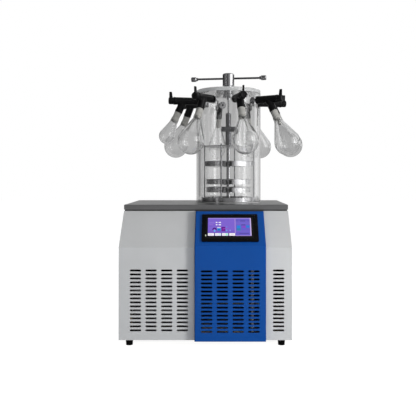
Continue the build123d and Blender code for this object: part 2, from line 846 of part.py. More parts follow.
with BuildPart() as valve_body:
    with BuildSketch(Plane.YZ.offset(valve_start)):
        Circle(valve_radius)
    extrude(amount=valve_length)
    fillet(valve_body.edges().filter_by(GeomType.CIRCLE), valve_end_edge)
    with BuildSketch(branch_plane):
        Circle(valve_radius)
    extrude(amount=branch_length)
    with BuildSketch(Plane.YZ.offset(valve_start)):
        Circle(nipple_radius + pin_gap)
    extrude(amount=valve_length, mode=Mode.SUBTRACT)
    with BuildSketch(Plane.YZ.offset(plug_seat)):
        Circle(plug_radius + pin_gap)
    extrude(amount=valve_length, mode=Mode.SUBTRACT)
    with BuildSketch(branch_plane):
        Circle(branch_bore)
    extrude(amount=branch_length, mode=Mode.SUBTRACT)
    with BuildSketch(branch_plane.offset(spigot_start)):
        Circle(spigot_radius + pin_gap)
    extrude(amount=spigot_depth, mode=Mode.SUBTRACT)

with BuildPart() as valve_plug:
    with BuildSketch(Plane.YZ.offset(cap_start)):
        Circle(cap_radius)
    extrude(amount=cap_length)
    fillet(valve_plug.edges().group_by(Axis.X)[-1], cap_edge)
    with BuildSketch(Plane.YZ.offset(plug_seat + air_gap)):
        Circle(plug_radius)
    extrude(amount=cap_start - plug_seat - air_gap)
    with BuildSketch(Plane.XZ):
        fin_top = valve_radius + fin_height
        fin_face = cap_end - fin_setback
        with BuildLine():
            Polyline((cap_start, 0), (cap_start, cap_radius - fin_setback),
                     (fin_face - fin_top_width, fin_top), (fin_face, fin_top), (fin_face, 0), close=True)
        make_face()
    extrude(amount=fin_thickness / 2, both=True)
    with BuildSketch(Plane.YZ.offset(plug_seat + air_gap)):
        Circle(plug_bore)
    extrude(amount=branch_x - plug_seat, mode=Mode.SUBTRACT)
    with BuildSketch(branch_plane):
        Circle(branch_bore)
    extrude(amount=valve_radius, mode=Mode.SUBTRACT)

with BuildPart() as neck_sleeve:
    with BuildSketch(Plane.XZ):
        with BuildLine():
            Polyline(
                (sleeve_bore, spigot_start + air_gap), (spigot_radius, spigot_start + air_gap),
                (spigot_radius, branch_length), (spigot_radius + sleeve_top_shoulder, branch_length),
                (spigot_radius + sleeve_bottom_shoulder, neck_top), (spigot_radius, neck_top),
                (spigot_radius, neck_top + sleeve_tail), (sleeve_bore, neck_top + sleeve_tail), close=True)
        make_face()
    revolve(axis=Axis.Z)


def cone_to_ball(neck, neck_bottom, ball, middle):
    # Where a straight cone from the neck's edge meets the ball smoothly: (radius, height) and angle.
    drop = middle - neck_bottom
    angle = math.atan2(-drop, neck) + math.acos(ball / math.hypot(neck, drop))
    return (ball * math.cos(angle), middle + ball * math.sin(angle)), angle


def flask_wall(neck, ball, reach):
    # One face of a pear flask, from the neck's top to the bottom of the ball, with the ball's arc.
    neck_bottom = neck_top + neck_length
    middle = neck_top + reach
    meets, angle = cone_to_ball(neck, neck_bottom, ball, middle)
    half_way = (angle + math.pi / 2) / 2
    on_arc = (ball * math.cos(half_way), middle + ball * math.sin(half_way))
    Polyline((neck, neck_top), (neck, neck_bottom), meets)
    ThreePointArc(meets, on_arc, (0, middle + ball))


def pear_flask(ball, reach):
    # A hollow glass flask on the branch's axis, which is Z here.
    with BuildPart() as flask:
        with BuildSketch(Plane.XZ):
            with BuildLine():
                flask_wall(spigot_radius + neck_wall, ball, reach)
                Line((0, neck_top + reach + ball), (0, neck_top + reach + ball - glass_wall))
                flask_wall(spigot_radius + pin_gap, ball - glass_wall, reach)
                Line((spigot_radius + pin_gap, neck_top), (spigot_radius + neck_wall, neck_top))
            make_face()
        revolve(axis=Axis.Z)
    return flask.part


with BuildPart() as port_nipples:
    for angle in port_angles:
        add(nipple.part.moved(port_plane(angle).location))
save(port_nipples.part, "port_nipples")

with BuildPart() as valve_bodies:
    for angle in port_angles:
        add(valve_body.part.moved(port_plane(angle).location))
save(valve_bodies.part, "valve_bodies")

with BuildPart() as neck_sleeves:
    for angle in port_angles:
        add(neck_sleeve.part.moved(port_plane(angle).location * branch_plane.location))
save(neck_sleeves.part, "neck_sleeves")

large_flask = pear_flask(large_bulb_radius, large_bulb_reach)
small_flask = pear_flask(small_bulb_radius, small_bulb_reach)
for port, angle in enumerate(port_angles, start=1):
    flask = small_flask if port == small_flask_port else large_flask
    save(flask.moved(port_plane(angle).location * branch_plane.location), f"flask_{port}")
    save(valve_plug.part.moved(port_plane(angle).location), f"valve_plug_{port}")

# Cooling set on the base pan: compressor, condenser behind the front slots, and its fan
compressor_x = chamber_x - insulation_outer - compressor_gap - compressor_radius
compressor_y = rear - compressor_from_rear
with BuildPart() as compressor:
    with BuildSketch(Plane((compressor_x, compressor_y, pan_floor))):
        RectangleRounded(compressor_plate, compressor_plate, compressor_plate_corner)
    extrude(amount=compressor_plate_thickness)
    with BuildSketch(Plane((compressor_x, compressor_y, pan_floor + compressor_plate_thickness))):
        Circle(compressor_radius)
    shell = extrude(amount=compressor_height)
    fillet(shell.edges().group_by(Axis.Z)[-1], compressor_dome)
save(compressor.part, "compressor")

condenser_x = condenser_from_side - half_width
condenser_y = front + condenser_from_front
fin_count = round(condenser_width / fin_pitch) + 1
tube_pitch = condenser_height / condenser_tube_rows
with BuildPart() as condenser:
    with Locations((condenser_x, condenser_y, pan_floor + condenser_height / 2)):
        with GridLocations(fin_pitch, 1, fin_count, 1):
            Box(fin_sheet, condenser_depth, condenser_height)
        with GridLocations((fin_count - 1) * fin_pitch, 1, 2, 1):
            Box(sheet, condenser_depth, condenser_height)
    with BuildSketch(Plane.YZ.offset(condenser_x)):
        with Locations((condenser_y, pan_floor + condenser_height / 2)):
            with GridLocations(condenser_depth / 2, tube_pitch, 2, condenser_tube_rows):
                Circle(condenser_tube_radius)
    extrude(amount=condenser_width / 2 + condenser_tube_end, both=True)
save(condenser.part, "condenser")

fan_front = condenser_y + condenser_depth / 2
fan_back = fan_front + fan_depth
fan_middle = (condenser_x, pan_floor + fan_size / 2)
arm_face = fan_back - fan_arm_thickness
with BuildPart() as fan_frame:
    with BuildSketch(Plane.XZ.offset(-fan_front)):
        with Locations(fan_middle):
            Rectangle(fan_size, fan_size)
            Circle(fan_bore, mode=Mode.SUBTRACT)
    extrude(amount=-fan_depth)
    with BuildSketch(Plane.XZ.offset(-arm_face)):
        with Locations(fan_middle):
            Circle(fan_hub_radius)
            Rectangle(2 * fan_bore + fan_arm_width, fan_arm_width)
            Rectangle(fan_arm_width, 2 * fan_bore + fan_arm_width)
    extrude(amount=-fan_arm_thickness)
    with BuildSketch(Plane.XZ.offset(-arm_face)):
        with Locations(fan_middle):
            Circle(fan_pin_radius)
    extrude(amount=fan_depth - 2 * fan_arm_thickness)
save(fan_frame.part, "fan_frame")

rotor_back = arm_face - air_gap
rotor_depth = fan_depth - 2 * fan_arm_thickness - air_gap
with BuildPart() as fan_rotor:
    with BuildSketch(Plane.XZ.offset(-rotor_back)):
        with Locations(fan_middle):
            Circle(fan_hub_radius)
    extrude(amount=rotor_depth)
    blade_span = fan_bore - blade_tip_gap - fan_pin_radius * 2
    blade_middle = fan_pin_radius * 2 + blade_span / 2
    for blade in range(blade_count):
        turn = 360 * blade / blade_count
        with Locations(Location((fan_middle[0], rotor_back - rotor_depth / 2, fan_middle[1]), (0, turn, 0))
                       * Location((0, 0, blade_middle), (0, 0, blade_twist))):
            Box(blade_chord, blade_thickness, blade_span)
    with BuildSketch(Plane.XZ.offset(-rotor_back)):
        with Locations(fan_middle):
            Circle(fan_pin_radius + pin_gap)
    extrude(amount=rotor_depth, mode=Mode.SUBTRACT)
save(fan_rotor.part, "fan_rotor")

# Mains inlet module with its rocker switch
switch_height = inlet_z + rocker_above
socket_middle = inlet_z - socket_below
rocker_y = rear - rocker_pivot_depth
inlet_face = rear + inlet_flange_thickness
with BuildPart() as power_inlet:
    with BuildSketch(Plane.XZ.offset(-rear)):
        with Locations((inlet_x, inlet_z)):
            Rectangle(inlet_width, inlet_height)
    extrude(amount=inlet_depth)
    with BuildSketch(Plane.XZ.offset(-rear)):
        with Locations((inlet_x, inlet_z)):
            RectangleRounded(inlet_width + 2 * inlet_flange, inlet_height + 2 * inlet_flange, inlet_flange)
    extrude(amount=-inlet_flange_thickness)
    with BuildSketch(Plane.XZ.offset(-inlet_face)):
        with Locations((inlet_x, socket_middle)):
            Rectangle(socket_width, socket_height)
    extrude(amount=socket_depth, mode=Mode.SUBTRACT)
    with BuildSketch(Plane.XZ.offset(-inlet_face)):
        with Locations((inlet_x, switch_height)):
            Rectangle(rocker_width + 2 * air_gap, 2 * (rocker_half_height + rocker_clearance))
    extrude(amount=inlet_flange_thickness + rocker_well, mode=Mode.SUBTRACT)
    with BuildSketch(Plane.YZ.offset(inlet_x)):
        with Locations((rocker_y, switch_height)):
            Circle(rocker_pin_radius + pin_gap)
    extrude(amount=rocker_width / 2 + rocker_pin_length + air_gap, both=True, mode=Mode.SUBTRACT)
    with BuildSketch(Plane.XZ.offset(socket_depth - inlet_face)):
        with Locations((inlet_x, socket_middle)):
            with Locations((-contact_pitch, -contact_height / 4), (0, contact_height / 4),
                           (contact_pitch, -contact_height / 4)):
                Rectangle(contact_width, contact_height)
    extrude(amount=-contact_length)
save(power_inlet.part, "power_inlet")

rocker_plane = Plane.YZ.offset(inlet_x) * Location((rocker_y, switch_height), rocker_tilt)
with BuildPart() as power_rocker:
    with BuildSketch(rocker_plane):
        with BuildLine():
            Polyline(
                (-rocker_back, -rocker_half_height / 2), (-rocker_back, rocker_half_height / 2),
                (rocker_back, rocker_half_height), (rocker_front, rocker_half_height),
                (rocker_front - rocker_dip, 0), (rocker_front, -rocker_half_height),
                (rocker_back, -rocker_half_height), close=True)
        make_face()
    extrude(amount=rocker_width / 2, both=True)
    with BuildSketch(rocker_plane):
        Circle(rocker_pin_radius)
    extrude(amount=rocker_width / 2 + rocker_pin_length, both=True)
save(power_rocker.part, "power_rocker")
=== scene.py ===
import json
import math

import bmesh
import bpy
from mathutils import Matrix, Vector


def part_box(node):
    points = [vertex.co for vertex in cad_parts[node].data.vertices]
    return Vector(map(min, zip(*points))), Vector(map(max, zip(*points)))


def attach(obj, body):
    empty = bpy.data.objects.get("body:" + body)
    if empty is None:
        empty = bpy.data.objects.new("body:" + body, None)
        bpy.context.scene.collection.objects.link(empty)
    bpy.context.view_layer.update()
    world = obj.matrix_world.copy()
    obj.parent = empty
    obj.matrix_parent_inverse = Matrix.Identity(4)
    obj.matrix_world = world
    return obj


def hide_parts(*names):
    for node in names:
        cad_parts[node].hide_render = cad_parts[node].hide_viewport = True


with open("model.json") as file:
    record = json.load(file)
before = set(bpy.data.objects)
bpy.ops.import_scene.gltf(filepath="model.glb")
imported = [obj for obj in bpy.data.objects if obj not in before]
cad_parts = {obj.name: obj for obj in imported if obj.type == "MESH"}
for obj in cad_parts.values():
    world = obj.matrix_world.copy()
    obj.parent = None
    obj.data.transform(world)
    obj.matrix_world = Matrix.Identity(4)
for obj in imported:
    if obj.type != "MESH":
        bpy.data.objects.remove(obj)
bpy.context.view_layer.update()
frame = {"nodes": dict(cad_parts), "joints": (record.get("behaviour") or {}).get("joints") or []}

# A freeze dryer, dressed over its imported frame. Metres, Z up, the front faces -Y.
nodes = frame["nodes"]
bpy.ops.object.select_all(action="DESELECT")


def corners(node):
    low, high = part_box(node)
    return Vector(low), Vector(high)


# The view: level, a little to the right of the cabinet's middle
view = {"place": (0.045, -2.348, 0.586), "lens": 52.0, "shift": (-0.0248, -0.0757)}
bpy.ops.object.camera_add(location=view["place"], rotation=(math.radians(90), 0, 0))
camera = bpy.context.object
camera.data.lens = view["lens"]
camera.data.shift_x, camera.data.shift_y = view["shift"]
bpy.context.scene.camera = camera
bpy.context.scene.view_settings.view_transform = "Standard"
print("view set")


class Wire:  # one output of a node, so that shader maths reads as sums
    def __init__(self, finish, socket):
        self.finish, self.socket = finish, socket

    def maths(self, operation, *terms):
        return self.finish.add("ShaderNodeMath", {"operation": operation}, dict(enumerate(terms)))

    def __add__(self, other):
        return self.maths("ADD", self, other)

    def __radd__(self, other):
        return self.maths("ADD", other, self)

    def __sub__(self, other):
        return self.maths("SUBTRACT", self, other)

    def __rsub__(self, other):
        return self.maths("SUBTRACT", other, self)

    def __mul__(self, other):
        return self.maths("MULTIPLY", self, other)

    def __rmul__(self, other):
        return self.maths("MULTIPLY", other, self)

    def __truediv__(self, other):
        return self.maths("DIVIDE", self, other)

    def __gt__(self, other):
        return self.maths("GREATER_THAN", self, other)

    def __lt__(self, other):
        return self.maths("LESS_THAN", self, other)


class Finish:  # one material or world, built node by node
    def __init__(self, owner):
        owner.use_nodes = True
        self.owner, self.tree = owner, owner.node_tree
        self.tree.nodes.clear()

    def add(self, kind, settings=None, values=None, output=0):
        node = self.tree.nodes.new(kind)
        for name, value in (settings or {}).items():
            setattr(node, name, value)
        for name, value in (values or {}).items():
            if isinstance(value, Wire):
                self.tree.links.new(value.socket, node.inputs[name])
            else:
                node.inputs[name].default_value = value
        return Wire(self, node.outputs[output]) if node.outputs else None

    def mix(self, share, first, second):  # colours
        return self.add("ShaderNodeMix", {"data_type": "RGBA"}, {0: share, 6: first, 7: second}, 2)

    def between(self, value, low, high, start=0.0, end=1.0):
        return self.add("ShaderNodeMapRange", {"interpolation_type": "SMOOTHSTEP"},
                        {0: value, 1: low, 2: high, 3: start, 4: end})

    def place(self):
        return self.add("ShaderNodeTexCoord", output="Object")

    def stretched(self, scale):
        return self.add("ShaderNodeMapping", None, {"Vector": self.place(), "Scale": scale})

    def grain(self, size, where=None, detail=2.0, roughness=0.5):  # soft noise of that size in metres
        return self.add("ShaderNodeTexNoise", None, {"Vector": where or self.place(), "Scale": 1 / size,
                                                     "Detail": detail, "Roughness": roughness})

    def axes(self):
        spot = self.place()
        return [self.add("ShaderNodeSeparateXYZ", None, {0: spot}, axis) for axis in range(3)]

    def shadedInside(self, middle, side, front, rear, slope):  # 1 on faces inside the sheet's outer skin, 0 outside: where painted shade goes
        x, y, z = self.axes()
        across = self.add("ShaderNodeMath", {"operation": "ABSOLUTE"}, {0: x - middle})
        return (across < side) * (y > -front) * (y < rear) * (z - y < slope)

    def raised(self, height, depth, strength):
        return self.add("ShaderNodeBump", None, {"Height": height, "Distance": depth, "Strength": strength})

    def coat(self, values):
        return self.add("ShaderNodeBsdfPrincipled", None, values)

    def close(self, shader, depth=None):
        side = "World" if isinstance(self.owner, bpy.types.World) else "Material"
        self.add("ShaderNodeOutput" + side, None, {"Surface": shader, **({"Volume": depth} if depth else {})})
        return self.owner


def newFinish(name):
    return Finish(bpy.data.materials.new(name))


def grey(value):
    return (value, value, value, 1)


# Studio: white behind, dark and bright sides for the metal and glass to mirror. Turns are in degrees
# from the front towards +X, heights are the sine of a ray's elevation.
studio = {
    "fill": 0.35,  # what falls on matt surfaces from all round
    "through": {"turn": 180, "half": 32, "soft": 24, "light": 0.22},  # what clear pieces show from behind
    "throughAll": 0.26,
    "dark": 0.05,
    "windowRight": {"turn": 62, "half": 26, "soft": 16, "light": 2.5},
    "stripRight": {"turn": 60, "half": 2, "soft": 4, "light": 3.0},
    "edgeRight": {"turn": 118, "half": 7, "soft": 10, "light": 0.9},
    "stripLeft": {"turn": -48, "half": 1.5, "soft": 3, "light": 1.6},
    "windowFront": {"turn": 8, "half": 8, "soft": 24, "light": 0.3},
    "windowLeft": {"turn": -78, "half": 5, "soft": 10, "light": 0.2},
    "behind": {"turn": 160, "half": 46, "soft": 34, "light": 0.62},
    "above": 0.12,
    "windowTop": (0.75, 0.45), "aboveFrom": (0.35, 0.8),  # heights between which a light fades
    "bandFoot": (0.13, 0.146), "bandHead": (0.24, 0.2),  # a dark band, for the edges of turned steel
}
world = bpy.data.worlds.new("studio")
bpy.context.scene.world = world
air = Finish(world)
direction = air.add("ShaderNodeTexCoord", output="Generated")
level = air.add("ShaderNodeVectorMath", {"operation": "MULTIPLY"}, {0: direction, 1: (1, 1, 0)})
level = air.add("ShaderNodeVectorMath", {"operation": "NORMALIZE"}, {0: level})
height = air.add("ShaderNodeSeparateXYZ", None, {0: direction}, 2)


def window(turn, half, soft, light):
    angle = math.radians(turn)
    towards = air.add("ShaderNodeVectorMath", {"operation": "DOT_PRODUCT"},
                      {0: level, 1: (math.sin(angle), -math.cos(angle), 0)}, "Value")
    edges = [math.cos(math.radians(half + side * soft)) for side in (1, -1)]
    return air.between(towards, *edges) * light


def lightPath(finish):  # bounced: mirrored at least once, through: only passed through clear pieces
    found = {name: finish.add("ShaderNodeLightPath", output=f"Is {name} Ray")
             for name in ("Camera", "Glossy", "Transmission")}
    found["bounced"] = finish.add("ShaderNodeLightPath", output="Glossy Depth") > 0.5
    found["through"] = found["Transmission"] * (1 - found["bounced"])
    return found


mirrored = window(**studio["windowRight"]) + window(**studio["windowFront"]) + window(**studio["windowLeft"])
mirrored = mirrored + window(**studio["stripRight"]) + window(**studio["stripLeft"])
mirrored = mirrored * air.between(height, *studio["windowTop"])
darkBand = air.between(height, *studio["bandFoot"]) * air.between(height, *studio["bandHead"])
mirrored = mirrored + (window(**studio["behind"]) + window(**studio["edgeRight"])) * (1 - darkBand)
mirrored = mirrored + air.between(height, *studio["aboveFrom"]) * studio["above"]
mirrored = mirrored + studio["dark"]
path = lightPath(air)
backLight = window(**studio["through"]) + studio["throughAll"]
behind = path["Camera"] + path["through"] * backLight
around = path["Glossy"] * mirrored + (1 - path["Glossy"]) * studio["fill"]
seen = behind + (1 - path["Camera"] - path["through"]) * around
air.close(air.add("ShaderNodeBackground", None, {"Color": (1, 1, 1, 1), "Strength": seen}))

# The floor shows white, with a soft shadow left on it.
floorLook = {"size": 24, "bare": 0.945, "shaded": 0.2, "albedo": 0.8, "mirrored": 0.3, "throughMore": 0.1}
bpy.ops.mesh.primitive_plane_add(size=floorLook["size"], location=(0, 0, 0))
floor = bpy.context.object
floor.name = "floor"
ground = newFinish("paleFloor")
path = lightPath(ground)
lit = ground.add("ShaderNodeBsdfDiffuse", None, {"Color": grey(floorLook["albedo"])})
soft = ground.add("ShaderNodeBsdfDiffuse", None, {"Color": grey(floorLook["shaded"])})
farSide = studio["throughAll"] + floorLook["throughMore"]
strength = path["through"] * (farSide - floorLook["bare"]) + floorLook["bare"]
strength = strength + path["bounced"] * (floorLook["mirrored"] - floorLook["bare"])
glow = ground.add("ShaderNodeEmission", None, {"Color": (1, 1, 1, 1), "Strength": strength})
shown = ground.add("ShaderNodeAddShader", None, {0: soft, 1: glow})
isSeen = path["Camera"] + path["Glossy"] + path["Transmission"]
ground.close(ground.add("ShaderNodeMixShader", None, {0: isSeen, 1: lit, 2: shown}))
floor.data.materials.append(ground.owner)

lamps = {
    "key": {"place": (2.4, -1.75, 0.9), "aim": (0.05, 0, 0.5), "size": (0.6, 1.2), "power": 80,
            "tint": (1.0, 0.99, 0.97)},
    "front": {"place": (-0.6, -3.0, 0.5), "aim": (0.05, 0, 0.5), "size": (1.0, 0.8), "power": 3,
              "tint": (0.86, 0.94, 1.0)},
    "low": {"place": (0.1, -1.5, 0.06), "aim": (0, -0.27, 0.12), "size": (1.8, 0.3), "power": 4,
            "tint": (0.92, 0.96, 1.0)},
    "rear": {"place": (-1.2, 2.5, 1.2), "aim": (0, 0.27, 0.3), "size": (1.2, 1.2), "power": 22,
             "tint": (0.94, 0.97, 1.0)},
    "top": {"place": (0.1, -0.2, 2.9), "aim": (0.05, 0, 0.5), "size": (1.6, 1.2), "power": 13,
            "tint": (1.0, 0.99, 0.96)},
}
for name, lamp in lamps.items():
    bpy.ops.object.light_add(type="AREA", location=lamp["place"])
    light = bpy.context.object
    light.name = name + "Lamp"
    light.data.shape = "RECTANGLE"
    light.data.size, light.data.size_y = lamp["size"]
    light.data.energy = lamp["power"]
    light.data.color = lamp["tint"]
    light.visible_glossy = light.visible_transmission = False  # metal mirrors the world's windows instead
    aim = Vector(lamp["aim"]) - Vector(lamp["place"])
    light.rotation_euler = aim.to_track_quat("-Z", "Y").to_euler()
print("studio built")


# Finishes. Sizes are in metres, tones and roughness swing between the two values of a pair.
# inside: the grey of the painted shade on the sheets' inner faces, standing for the dark inside of the cabinet
paintLook = {"mottle": 0.11, "tones": (0.975, 1.02), "roughness": (-0.03, 0.04), "bump": 0.00012, "strength": 0.35,
             "inside": 0.012}
steelLook = {"haze": 0.06, "brushed": 0.7, "roughness": (0.8, 1.25), "strength": 0.5}
mouldLook = {"roughness": (0.9, 1.12), "strength": 0.5}
clearLook = {"strength": 0.3}


def tinted(colour, share):
    return (*[min(1, c * share) for c in colour], 1)


def powderCoat(name, colour, roughness=0.42, speckle=0.0013, shine=0.3, shadeWithin=None):
    f = newFinish(name)
    skin = f.grain(speckle, detail=1.0)
    mottle = f.grain(paintLook["mottle"], detail=3.0)
    base = f.mix(f.between(mottle, 0.3, 0.7), *[tinted(colour, share) for share in paintLook["tones"]])
    rough = f.between(mottle, 0.3, 0.7, *[roughness + swing for swing in paintLook["roughness"]])
    # Faces inside the sheet take a painted shade, so the cabinet's inside looks dark through the slots.
    if shadeWithin:
        base = f.mix(f.shadedInside(**shadeWithin), base, grey(paintLook["inside"]))
    return f.close(f.coat({"Base Color": base, "Roughness": rough, "Specular IOR Level": shine,
                           "Normal": f.raised(skin, paintLook["bump"], paintLook["strength"])}))


def steel(name, colour, roughness, stretch, lines=0.06, spread=0.0006, depth=0.00004):
    f = newFinish(name)
    brush = f.grain(spread, f.stretched(stretch), detail=3.0, roughness=0.6)
    haze = f.grain(steelLook["haze"], detail=2.0)
    tone = f.between(brush, 0.25, 0.75)
    base = f.mix(tone, tinted(colour, 1 - lines), tinted(colour, 1 + lines / 2))
    blend = brush * steelLook["brushed"] + haze * (1 - steelLook["brushed"])
    rough = f.between(blend, 0.35, 0.65, *[roughness * swing for swing in steelLook["roughness"]])
    return f.close(f.coat({"Base Color": base, "Metallic": 1.0, "Roughness": rough,
                           "Normal": f.raised(brush, depth, steelLook["strength"])}))


def moulded(name, colour, roughness, speckle, depth, patch=0.04, change=0.12, shine=0.3, cover=1.0):
    f = newFinish(name)
    skin = f.grain(speckle, detail=2.0)
    cloud = f.grain(patch, detail=3.0)
    base = f.mix(f.between(cloud, 0.3, 0.7), tinted(colour, 1 - change), tinted(colour, 1 + change))
    rough = f.between(cloud, 0.3, 0.7, *[roughness * swing for swing in mouldLook["roughness"]])
    return f.close(f.coat({"Base Color": base, "Roughness": rough, "Specular IOR Level": shine, "Alpha": cover,
                           "Normal": f.raised(skin, depth, mouldLook["strength"])}))


def clear(name, ior, soak, shade, wave, waveDepth, shadowTint):
    f = newFinish(name)
    ripple = f.grain(wave, detail=1.0)
    body = f.coat({"Base Color": (1, 1, 1, 1), "Transmission Weight": 1.0, "IOR": ior, "Roughness": 0.0,
                   "Normal": f.raised(ripple, waveDepth, clearLook["strength"])})
    passed = f.add("ShaderNodeBsdfTransparent", None, {"Color": grey(shadowTint)})
    shadow = f.add("ShaderNodeLightPath", output="Is Shadow Ray")
    through = f.add("ShaderNodeMixShader", None, {0: shadow, 1: body, 2: passed})
    depth = f.add("ShaderNodeVolumeAbsorption", None, {"Color": (*shade, 1), "Density": soak})
    return f.close(through, depth)


# Boxes inside the cabinet and the blue cover whose sheet faces get painted shade.
cabinetShadeBox = {"middle": 0, "side": 0.2992, "front": 0.2692, "rear": 0.2692, "slope": 0.6088}
coverShadeBox = {"middle": 0.086, "side": 0.1222, "front": 0.2892, "rear": 0.2692, "slope": 0.6370}
slateGrey = powderCoat("greyPowderCoatShadedInside", (0.455, 0.462, 0.472), shadeWithin=cabinetShadeBox)
cobalt = powderCoat("bluePaintShadedInside", (0.002, 0.054, 0.255), 0.36, 0.0016, 0.12, shadeWithin=coverShadeBox)
primer = powderCoat("darkPrimer", (0.02, 0.021, 0.022), 0.6)
panPlate = powderCoat("platedPan", (0.64, 0.55, 0.40), 0.45)
tubeGrey = powderCoat("tubeGrey", (0.34, 0.35, 0.37), 0.5)
enamel = powderCoat("blackEnamel", (0.012, 0.012, 0.014), 0.3, 0.003)
worktopSteel = steel("brushedWorktop", (0.30, 0.30, 0.305), 0.36, (0.04, 1, 1))
satin = steel("satinStainless", (0.56, 0.56, 0.57), 0.26, (1, 1, 0.05))
bright = steel("turnedStainless", (0.40, 0.40, 0.41), 0.15, (0.08, 0.08, 1), 0.04)
drawn = steel("drawnStainless", (0.30, 0.30, 0.31), 0.22, (1, 1, 0.06), 0.04)
# A copy of the stainless made much darker: its low base colour is painted shade on the handle bar and press stem.
shadedSteel = steel("stainlessWithPaintedShade", (0.16, 0.16, 0.17), 0.28, (0.1, 0.1, 1), 0.05)
pressed = steel("pressedStainless", (0.48, 0.48, 0.49), 0.22, (0.1, 0.1, 1), 0.05)
brass = steel("plainBrass", (0.62, 0.43, 0.16), 0.25, (0.1, 0.1, 1))
copper = steel("drawnCopper", (0.66, 0.30, 0.17), 0.3, (0.2, 0.2, 1))
aluminium = steel("finStock", (0.40, 0.41, 0.42), 0.5, (1, 1, 0.1))
rubber = moulded("valveRubber", (0.0035, 0.0035, 0.004), 0.42, 0.0008, 0.00006, shine=0.16)
footRubber = moulded("footRubber", (0.002, 0.002, 0.002), 0.7, 0.001, 0.0001, shine=0.04)
sealRubber = moulded("sealRubber", (0.05, 0.05, 0.052), 0.55, 0.001, 0.0001, shine=0.12)
gasketRubber = moulded("gasketSilicone", (0.34, 0.34, 0.345), 0.4, 0.001, 0.0001, shine=0.3)
mattAcrylic = moulded("mattAcrylic", (0.42, 0.43, 0.44), 0.55, 0.0012, 0.00004, shine=0.3)
sawnAcrylic = moulded("sawnAcrylic", (0.68, 0.69, 0.70), 0.5, 0.0012, 0.00004, shine=0.4, cover=0.4)
ivory = moulded("ivorySilicone", (0.29, 0.288, 0.276), 0.46, 0.0009, 0.00008, 0.014, 0.16)
foam = moulded("closedFoam", (0.02, 0.02, 0.02), 0.9, 0.0025, 0.0008)
blackPlastic = moulded("blackPlastic", (0.018, 0.018, 0.019), 0.45, 0.0007, 0.00008)
redDip = moulded("redDip", (0.36, 0.012, 0.01), 0.4, 0.004, 0.0002)
bezelBlack = moulded("bezelBlack", (0.003, 0.003, 0.0035), 0.25, 0.0009, 0.00002, shine=0.08)
glass = clear("blownGlass", 1.47, 22.0, (0.30, 0.31, 0.32), 0.03, 0.0004, 0.93)
acrylic = clear("castAcrylic", 1.49, 2.4, (0.30, 0.31, 0.32), 0.12, 0.0002, 0.95)
print("finishes made")

# Modelling helpers
weld = 0.000002  # corners nearer than this become one


def onlyOne(piece):
    bpy.ops.object.select_all(action="DESELECT")
    piece.select_set(True)
    bpy.context.view_layer.objects.active = piece


def pick(piece, kind, test):  # edit mode, with the faces, edges or corners that pass the test selected
    onlyOne(piece)
    bpy.ops.object.mode_set(mode="EDIT")
    bpy.ops.mesh.select_mode(type=kind)
    bpy.ops.mesh.select_all(action="DESELECT")
    shape = bmesh.from_edit_mesh(piece.data)
    parts = {"FACE": shape.faces, "EDGE": shape.edges, "VERT": shape.verts}[kind]
    for part in parts:
        if test(part):
            part.select_set(True)
    shape.select_flush_mode()
    bmesh.update_edit_mesh(piece.data)


def done():
    bpy.ops.object.mode_set(mode="OBJECT")


def onePoint(piece):  # edit mode, with the plane shrunk to one selected corner
    pick(piece, "VERT", lambda v: True)
    bpy.ops.mesh.merge(type="CENTER")
    bpy.ops.mesh.select_all(action="SELECT")


def lathe(name, outline, steps=48, turn=360.0):  # outline: (radius, height) points, turned about Z
    bpy.ops.object.select_all(action="DESELECT")
    bpy.ops.mesh.primitive_plane_add(size=0.001)
    piece = bpy.context.object
    piece.name = piece.data.name = name
    onePoint(piece)
    here = outline[0]
    bpy.ops.transform.translate(value=(here[0], 0, here[1]))
    for there in outline[1:]:
        step = (there[0] - here[0], 0, there[1] - here[1])
        bpy.ops.mesh.extrude_vertices_move(TRANSFORM_OT_translate={"value": step})
        here = there
    bpy.ops.mesh.select_all(action="SELECT")
    bpy.ops.mesh.spin(steps=steps, angle=math.radians(turn), center=(0, 0, 0), axis=(0, 0, 1))
    bpy.ops.mesh.select_all(action="SELECT")
    bpy.ops.mesh.remove_doubles(threshold=weld)
    bpy.ops.mesh.normals_make_consistent(inside=False)
    done()
    return piece


def settle(piece, place):  # moves a piece and leaves its place in its mesh
    onlyOne(piece)
    piece.matrix_world = place
    bpy.ops.object.transform_apply(location=True, rotation=True, scale=True)
    return piece


def another(piece, name):
    onlyOne(piece)
    bpy.ops.object.duplicate(linked=False)
    copy = bpy.context.object
    copy.name = copy.data.name = name
    return copy


def joined(first, *others):
    onlyOne(first)
    for piece in others:
        piece.select_set(True)
    bpy.ops.object.join()
    return first


def smooth(piece, angle):
    onlyOne(piece)
    bpy.ops.object.shade_smooth_by_angle(angle=math.radians(angle))


def apply(piece, kind, **settings):
    onlyOne(piece)
    change = piece.modifiers.new(kind.title(), kind)
    for name, value in settings.items():
        setattr(change, name, value)
    bpy.ops.object.modifier_apply(modifier=change.name)


def melt(piece, cell, rounds, keep):  # one moulded skin over pieces that run into each other
    apply(piece, "REMESH", mode="VOXEL", voxel_size=cell)
    apply(piece, "SMOOTH", factor=0.5, iterations=rounds)
    apply(piece, "DECIMATE", ratio=keep)
    onlyOne(piece)
    bpy.ops.object.shade_smooth()


def finished(piece, finish, slotName, body, *nodeNames):
    piece.data.materials.clear()
    piece.data.materials.append(finish)
    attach(piece, body)
    if nodeNames:
        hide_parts(*nodeNames)


def rounded(outline, edge):  # the outline with each corner cut by a short slope
    points = [Vector(p) for p in outline]
    cut = [points[0]]
    for before, corner, after in zip(points, points[1:], points[2:]):
        for side in (before, after):
            gap = side - corner
            cut.append(corner + gap.normalized() * min(edge, gap.length * 0.45))
    return [tuple(p) for p in cut + [points[-1]]]


